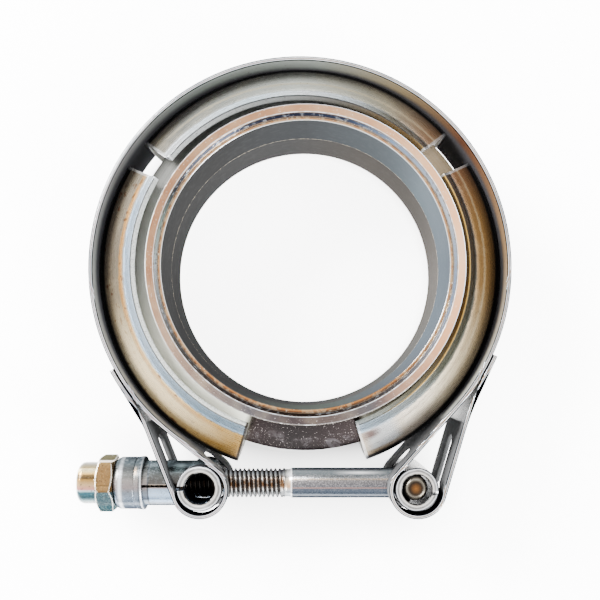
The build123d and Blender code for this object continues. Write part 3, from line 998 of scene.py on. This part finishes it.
# Trunnion and cap. Places along the bolt are world X in mm, radii from the tube's axis.
CAP_START_X = (-51.9, -51.7)
CAP_RIM_HIGHLIGHT_X = (-61.6, -60.4, 0.35)
CAP_HIGHLIGHT_LINE_X = (-54.4, -53.9, 0.12)
CAP_HIGHLIGHTS_DY = (5.0, 7.0)
CAP_TINT = ((-56.4, -55.6, 0.2), (4.0, 6.0, 0.5))
CAP_GROOVES_X = ((-54.9, -54.5, 0.12), (-52.2, -51.7, 0.12))
BARREL_HIGHLIGHT = ((-43.4, -40.2, 0.8), (4.6, 6.6, 0.6))
TUBE_OUTER_R = (7.55, 7.6)
TUBE_WALL_R = (7.2, 7.3)
TUBE_HOLE_R = (5.1, 5.2)
BELOW_CUT_END = (11.8, 11.9)
IN_LOOP_HEIGHT = (7.6, 8.2)
TRUNNION_LIT_DY = ((-6.6, -5.0), (5.6, 6.6))

# Barrel and cap, by dy: painted reflections across them, darker towards their top and bottom
# edges
BARREL_BANDS = (
    (-7.6, (0.04, 0.05, 0.06)),
    (-6.4, (0.14, 0.18, 0.23)),
    (-5.2, (0.40, 0.50, 0.62)),
    (-3.0, (0.52, 0.64, 0.78)),
    (-0.9, (0.50, 0.60, 0.72)),
    (-0.3, (0.46, 0.34, 0.26)),
    (0.4, (0.74, 0.64, 0.54)),
    (0.8, (0.20, 0.19, 0.18)),
    (3.4, (0.15, 0.155, 0.15)),
    (5.0, (0.15, 0.17, 0.17)),
    (6.4, (0.20, 0.24, 0.255)),
    (7.6, (0.05, 0.06, 0.065)),
)
CAP_BANDS = (
    (-9.1, (0.03, 0.035, 0.04)),
    (-7.8, (0.14, 0.16, 0.19)),
    (-6.6, (0.22, 0.26, 0.31)),
    (-5.0, (0.27, 0.32, 0.38)),
    (-2.0, (0.30, 0.33, 0.37)),
    (-0.4, (0.40, 0.36, 0.36)),
    (2.0, (0.40, 0.375, 0.36)),
    (3.2, (0.24, 0.24, 0.23)),
    (5.6, (0.16, 0.17, 0.17)),
    (7.4, (0.12, 0.14, 0.15)),
    (9.1, (0.05, 0.06, 0.065)),
)


def zinc_blue_material():
    """Blue-grey zinc: painted reflections, dark above the slit, pale blue below, bright cut
    ring on top.
    """
    g = Graph("zinc_blue")
    x, y, z = g.split(g.spot)
    dy = g.minus(y, BOLT_Y / MM)
    cloud = g.noise(0.22, detail=4.0, roughness=0.6)
    drawn = g.noise(1.0, g.stretch(0.5, 2.5, 2.5), 3.0, 0.6)
    speckle = g.noise(1.4, detail=3.0, roughness=0.6)

    # Painted highlights along the cap's rim and the line beside it, weaker towards the top
    rim_highlights = g.plus(g.band(x, *CAP_RIM_HIGHLIGHT_X), g.times(g.band(x, *CAP_HIGHLIGHT_LINE_X), 0.8))
    rim_highlights = g.times(rim_highlights, g.fade(dy, *CAP_HIGHLIGHTS_DY, 1.0, 0.25))
    cap = g.paint(g.across(CAP_BANDS), rim_highlights, (0.95, 0.97, 1.0), 0.9)
    along, across = CAP_TINT
    tint = g.times(g.band(x, *along), g.band(dy, *across))
    cap = g.paint(cap, tint, (0.60, 0.44, 0.30), 0.7)
    colour = g.mix(g.drop(x, *CAP_START_X), g.across(BARREL_BANDS), cap)
    # A painted highlight on the barrel's upper side beside the tube
    along, across = BARREL_HIGHLIGHT
    barrel_highlight = g.times(g.band(x, *along), g.band(dy, *across))
    colour = g.paint(colour, barrel_highlight, (0.56, 0.68, 0.70), 0.8)
    first, second = CAP_GROOVES_X
    groove = g.plus(g.band(x, *first), g.band(x, *second))
    colour = g.paint(colour, groove, (0.10, 0.12, 0.14), 0.7)
    mottle = g.mix(g.fade(cloud, 0.4, 0.6), grey(0.20), (0.78, 0.84, 0.90))
    colour = g.mix(g.fade(speckle, 0.48, 0.62, 0.0, 0.22), colour, mottle)
    colour = g.paint(colour, g.specks(2.4, 0.68, 0.76), (0.12, 0.11, 0.10), 0.5)

    # The tube's cut end, painted shade on the tube's wall in the dark of the loop, and painted
    # black shade in its hole
    away = g.away(RING_X + TRUNNION_LOOP_X, BOLT_Y)
    height = g.from_middle(z)
    tube = g.drop(away, *TUBE_OUTER_R)
    wall = g.times(g.times(g.fade(away, *TUBE_WALL_R), tube), g.drop(height, *BELOW_CUT_END))
    colour = g.paint(colour, g.times(wall, g.fade(height, *IN_LOOP_HEIGHT)), DARK, 0.9)
    top = g.times(g.fade(height, *CUT_END_HEIGHT), tube)
    colour = g.mix(top, colour, g.cut_ring("trunnion", *TRUNNION_RING_R))
    hole_shade = g.times(g.drop(away, *TUBE_HOLE_R), g.drop(height, *BELOW_CUT_END))
    colour = g.paint(colour, hole_shade, BLACK, 0.97)

    lit_side = g.times(g.between(dy, *TRUNNION_LIT_DY), g.invert(hole_shade))
    rough = g.vary(drawn, 0.18, 0.32)
    normal = g.bump(drawn, 0.12, 0.04, g.rounded(0.5))
    metallic, specular = g.times(lit_side, 0.85), g.times(lit_side, 0.5)
    return g.finish(g.deepen(colour), rough, normal, metallic, specular)


# Lock nut. Places along the bolt are world X in mm.
COLLAR_X = (-68.8, -68.6)
NUT_EDGE_X = (-69.4, -67.8, 0.1)
NUT_FACE_X = (-64.6, -64.2)
COLLAR_GLINT = ((-76.9, -75.7, 0.3), (-6.0, 4.5, 1.0))
TEAL_DY = (-1.9, -1.5)
NUT_LIT_DY = ((-7.0, -5.0), (7.9, 8.1))

# Hexagon and collar, by the distance from the bolt's axis towards the ring; the collar's
# bands are painted reflections with a painted highlight band
HEXAGON_BANDS = (
    (-9.8, (0.04, 0.06, 0.06)),
    (-8.6, (0.06, 0.12, 0.14)),
    (-1.9, (0.08, 0.17, 0.20)),
    (-1.5, (0.30, 0.20, 0.095)),
    (0.2, (0.36, 0.25, 0.12)),
    (0.4, (0.18, 0.12, 0.05)),
    (0.7, (0.32, 0.215, 0.10)),
    (6.0, (0.31, 0.21, 0.10)),
    (7.9, (0.38, 0.28, 0.14)),
    (8.1, (0.15, 0.14, 0.095)),
    (9.8, (0.20, 0.19, 0.14)),
)
COLLAR_BANDS = (
    (-7.1, (0.12, 0.15, 0.15)),
    (-5.8, (0.34, 0.40, 0.40)),
    (-4.8, (0.06, 0.16, 0.19)),
    (-2.3, (0.09, 0.21, 0.25)),
    (-1.7, (0.62, 0.70, 0.72)),
    (-1.1, (0.70, 0.42, 0.38)),
    (0.4, (0.68, 0.52, 0.33)),
    (2.0, (0.48, 0.33, 0.13)),
    (2.5, (0.16, 0.11, 0.05)),
    (3.4, (0.20, 0.14, 0.06)),
    (3.9, (0.66, 0.48, 0.20)),
    (5.0, (1.0, 0.90, 0.62)),
    (5.6, (0.28, 0.23, 0.12)),
    (7.1, (0.13, 0.125, 0.09)),
)


def zinc_yellow_material():
    """Yellow passivated zinc: golden middle facet, olive above, teal below, painted edge
    highlights.
    """
    g = Graph("zinc_yellow")
    x, y = g.split(g.spot)[:2]
    dy = g.minus(y, BOLT_Y / MM)
    fine = g.noise(1.6, detail=3.0, roughness=0.6)
    speckle = g.noise(1.8, detail=3.0, roughness=0.7)
    soft = g.rounded(0.7)
    colour = g.mix(g.drop(x, *COLLAR_X), g.across(HEXAGON_BANDS), g.across(COLLAR_BANDS))
    dotted = g.plus(g.times(g.drop(dy, *TEAL_DY), 0.35), 0.06)
    dots = g.times(g.fade(speckle, 0.50, 0.60), dotted)
    colour = g.mix(dots, colour, (0.46, 0.56, 0.54))
    # Painted highlights along the nut's edges
    edges = g.plus(g.band(x, *NUT_EDGE_X), g.fade(x, *NUT_FACE_X))
    lines = g.times(g.drop(g.flatness(soft), 0.93, 0.99), edges)
    colour = g.paint(colour, lines, (1.0, 0.98, 0.92), 0.9)
    along, across = COLLAR_GLINT
    glint = g.times(g.band(x, *along), g.band(dy, *across))
    colour = g.paint(colour, glint, (0.94, 0.95, 0.96), 0.75)
    colour = g.paint(colour, g.specks(1.5, 0.66, 0.72), (0.12, 0.08, 0.05), 0.7)
    rough = g.vary(fine, 0.16, 0.30)
    normal = g.bump(fine, 0.10, 0.05, soft)
    lit_side = g.between(dy, *NUT_LIT_DY)
    metallic, specular = g.times(lit_side, 0.85), g.times(lit_side, 0.5)
    return g.finish(g.deepen(colour), rough, normal, metallic, specular)


def mesh_piece(name, points, faces, material, smooth=True):
    mesh = bpy.data.meshes.new(name)
    mesh.from_pydata(points, [], faces)
    mesh.update()
    for polygon in mesh.polygons:
        polygon.use_smooth = smooth
    piece = bpy.data.objects.new(name, mesh)
    piece.data.materials.append(material)
    scene.collection.objects.link(piece)
    return piece


def thread_height(share):
    """0 at the root and 1 at the crest, over one pitch of the thread."""
    away = abs(share % 1.0 - 0.5)
    if away < THREAD_CREST / 2:
        return 1.0
    if away < THREAD_CREST / 2 + THREAD_FLANK:
        return 1.0 - (away - THREAD_CREST / 2) / THREAD_FLANK
    return 0.0


def thread_radius(x, share_of_turn):
    """The thread's surface, with a chamfered tip and a run-out before the relief."""
    from_tip = (x - THREAD_START) / MM
    run_out = min(1.0, (RELIEF_START - x) / THREAD_PITCH)
    crest = min(THREAD_R, THREAD_R - (1.0 - from_tip) * MM)
    wave = thread_height(x / THREAD_PITCH - share_of_turn)
    return min(crest, THREAD_R - THREAD_DEPTH * (1.0 - wave) * run_out)


def tube_faces(first, rows):
    """Faces between rows of BOLT_SIDES points, the first row starting at first."""
    faces = []
    for row in range(rows - 1):
        start = first + row * BOLT_SIDES
        for index in range(BOLT_SIDES):
            a = start + index
            b = start + (index + 1) % BOLT_SIDES
            faces.append((a, b, b + BOLT_SIDES, a + BOLT_SIDES))
    return faces


def bolt_piece(material):
    """The T-bolt with its real helical thread, relief, shank and domed cross bar."""
    turns = [2 * math.pi * index / BOLT_SIDES for index in range(BOLT_SIDES)]

    stations = []
    x = THREAD_START
    while x < RELIEF_START:
        stations.append((x, None))
        x += THREAD_PITCH / STEPS_A_PITCH
    stations += [(RELIEF_START, RELIEF_R), (SHANK_START - RELIEF_SLOPE, RELIEF_R)]
    stations += [(SHANK_START, SHANK_R), (T_BAR_X, SHANK_R)]
    points = [(RING_X + THREAD_START, BOLT_Y, CLAMP_Z)]
    for x, radius in stations:
        for index, turn in enumerate(turns):
            r = thread_radius(x, index / BOLT_SIDES) if radius is None else radius
            y, z = r * math.cos(turn), r * math.sin(turn)
            points.append((RING_X + x, BOLT_Y + y, CLAMP_Z + z))
    faces = [(0, 1 + (index + 1) % BOLT_SIDES, 1 + index) for index in range(BOLT_SIDES)]
    faces += tube_faces(1, len(stations))

    # The cross bar's outline from its lower end to its upper one
    first = len(points)
    outline = []
    for part in range(DOME_STEPS + 1):
        turn = math.pi / 2 * part / DOME_STEPS
        r = T_BAR_R - T_BAR_DOME + T_BAR_DOME * math.sin(turn)
        outline.append((r, -T_BAR_HALF + T_BAR_DOME * (1 - math.cos(turn))))
    outline += [(r, -z) for r, z in reversed(outline)]
    centre_x = RING_X + T_BAR_X
    for r, z in outline:
        for turn in turns:
            x, y = r * math.cos(turn), r * math.sin(turn)
            points.append((centre_x + x, BOLT_Y + y, CLAMP_Z + z))
    faces += tube_faces(first, len(outline))
    last = first + (len(outline) - 1) * BOLT_SIDES
    faces.append(tuple(first + index for index in reversed(range(BOLT_SIDES))))
    faces.append(tuple(last + index for index in range(BOLT_SIDES)))
    piece = mesh_piece("t_bolt_threaded", points, faces, material)
    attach(piece, "clamp")
    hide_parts("t_bolt")


# Painted shadows: where the floor doesn't glow, under the ring and the bolt, in mm
RING_SHADOW = (48.0, 68.0, 4.0)
BOLT_SHADOW = ((-75.0, 48.0, 12.0), (-90.0, -60.0, 12.0))

# The studio's brightness from the horizon (0) to straight above (1)
STUDIO_SKY = (
    (0.0, (0.45, 0.45, 0.46)),
    (0.10, (0.22, 0.22, 0.23)),
    (0.28, (0.75, 0.76, 0.78)),
    (0.50, (1.40, 1.41, 1.43)),
    (0.72, (1.10, 1.09, 1.08)),
    (0.88, (0.82, 0.81, 0.80)),
    (1.0, (0.78, 0.77, 0.76)),
)


def make_floor():
    """Plain pale paper that glows, with painted shadows where it glows less under the part."""
    corners = [(FLOOR_HALF * x, FLOOR_HALF * y, FLOOR_Z) for x, y in FLOOR_CORNERS]
    g = Graph("floor_paper")
    grain = g.tones(g.noise(0.5), grey(0.93), grey(0.95))
    paper = g.finish(grain, 0.9, None, 0.0, 0.0)
    x, y = g.split(g.spot)[:2]
    ring_shadow = g.band(g.ring(RING_X)[0], *RING_SHADOW)
    along, across = BOLT_SHADOW
    bolt_shadow = g.times(g.band(y, *across), g.band(x, *along))
    glow = g.times(g.invert(ring_shadow), g.invert(g.times(bolt_shadow, 0.75)))
    g.link(g.mix(glow, grey(0.0), grain), g.shader.inputs["Emission Color"])
    g.shader.inputs["Emission Strength"].default_value = FLOOR_GLOW
    mesh_piece("floor", corners, [(0, 1, 2, 3)], paper, False)


def make_studio():
    """Soft light all round, brightest half way up, and two lamps."""
    world = bpy.data.worlds.new("studio")
    world.use_nodes = True
    nodes = world.node_tree.nodes
    links = world.node_tree.links
    split = nodes.new("ShaderNodeSeparateXYZ")
    links.new(nodes.new("ShaderNodeTexCoord").outputs["Generated"], split.inputs[0])
    sky = nodes.new("ShaderNodeValToRGB")
    links.new(split.outputs["Z"], sky.inputs[0])
    fill_ramp(sky, STUDIO_SKY)
    links.new(sky.outputs[0], nodes["Background"].inputs[0])
    nodes["Background"].inputs[1].default_value = STUDIO_GLOW
    scene.world = world
    for name, place, power in LAMPS:
        add_light(name, place, power)


def add_light(name, place, power):
    """A square lamp that faces the part."""
    data = bpy.data.lights.new(name, "AREA")
    data.size = LAMP_SIZE
    data.energy = power
    light = bpy.data.objects.new(name, data)
    light.location = place
    light.rotation_euler = (-light.location).to_track_quat("-Z", "Y").to_euler()
    scene.collection.objects.link(light)


def dress(material, *names):
    for name in names:
        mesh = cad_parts[name].data
        mesh.materials.clear()
        mesh.materials.append(material)


def main():
    make_camera()
    make_floor()
    make_studio()
    dress(strap_material(), "band_strap")
    dress(retainer_material(), "retainer_top", "retainer_left", "retainer_right")
    dress(flange_material(), "upper_flange", "lower_flange")
    bolt_piece(bolt_material())
    dress(sheet_cut_material(), "t_head_sleeve")
    dress(zinc_blue_material(), "trunnion", "trunnion_cap")
    dress(zinc_yellow_material(), "lock_nut")


main()
